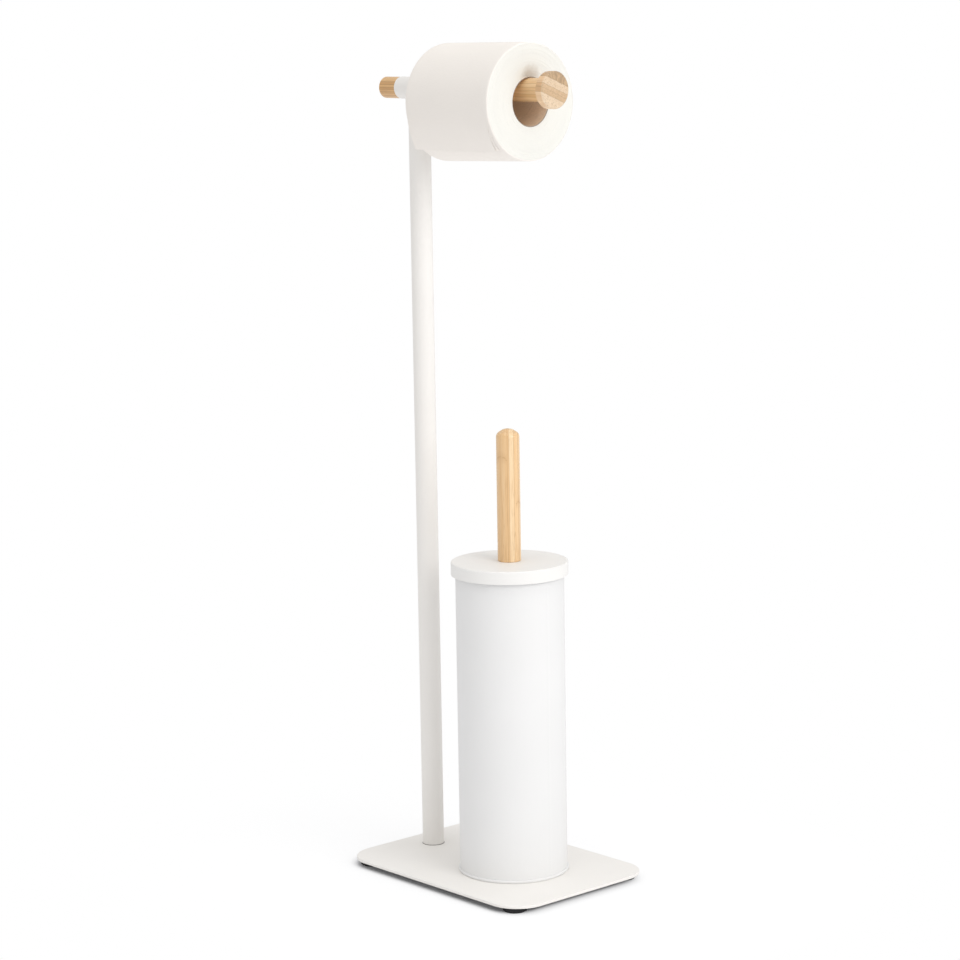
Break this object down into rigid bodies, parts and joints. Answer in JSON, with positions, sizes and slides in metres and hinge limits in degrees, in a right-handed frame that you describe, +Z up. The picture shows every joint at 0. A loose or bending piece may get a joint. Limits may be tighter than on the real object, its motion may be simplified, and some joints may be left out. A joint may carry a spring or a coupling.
{
  "type": "toilet brush holder",
  "caption": "Free-standing toilet brush canister with a lidded brush, and a post with a bamboo bar that holds a paper roll, on one base plate.",
  "frame": {"origin": "on the floor, midway in X between the bar's end cap and the plate's front edge, on the object's plane of symmetry", "axes": "+Z up along the post; +X along the bar from the end cap to the knob; +Y across the plate"},
  "size_m": [0.2404, 0.161, 0.7186],
  "materials": {
    "powder_coat": "matt white powder coat",
    "foot_rubber": "matt black rubber",
    "zinc_steel": "bright zinc",
    "insert_brass": "turned brass",
    "bamboo": "clear satin lacquer",
    "liner_plastic": "moulded polypropylene",
    "head_plastic": "moulded polypropylene",
    "bristle_plastic": "drawn filament",
    "tissue_paper": "soft embossed tissue",
    "core_card": "spiral-wound board"
  },
  "bodies": {
    "stand": {"base_plate": "powder_coat", "foot_front_left": "foot_rubber", "foot_front_right": "foot_rubber", "foot_rear_left": "foot_rubber", "foot_rear_right": "foot_rubber", "post_tube": "powder_coat", "post_plug": "zinc_steel", "post_screw": "zinc_steel", "post_washer": "zinc_steel", "cross_sleeve": "powder_coat", "bar_end_cap": "bamboo", "bar_stud": "zinc_steel", "roll_bar": "bamboo", "bar_knob": "bamboo", "canister_shell": "powder_coat", "canister_bottom": "powder_coat", "canister_screw": "zinc_steel", "canister_washer": "zinc_steel", "canister_nut": "zinc_steel", "liner_cup": "liner_plastic"},
    "brush": {"brush_lid": "powder_coat", "brush_handle": "bamboo", "handle_insert": "insert_brass", "brush_rod": "zinc_steel", "rod_washer": "zinc_steel", "brush_head": "head_plastic", "bristle_tufts": "bristle_plastic"},
    "roll": {"paper_roll": "tissue_paper", "roll_core": "core_card"}
  },
  "joints": [
    {"name": "brush_lift", "type": "slide", "parent": "stand", "child": "brush", "axis": [0, 0, 1], "range_m": [0, 0.22]},
    {"name": "roll_spin", "type": "hinge", "parent": "stand", "child": "roll", "pos_m": [0.0132, 0, 0.66935], "axis": [1, 0, 0], "continuous": true}
  ]
}
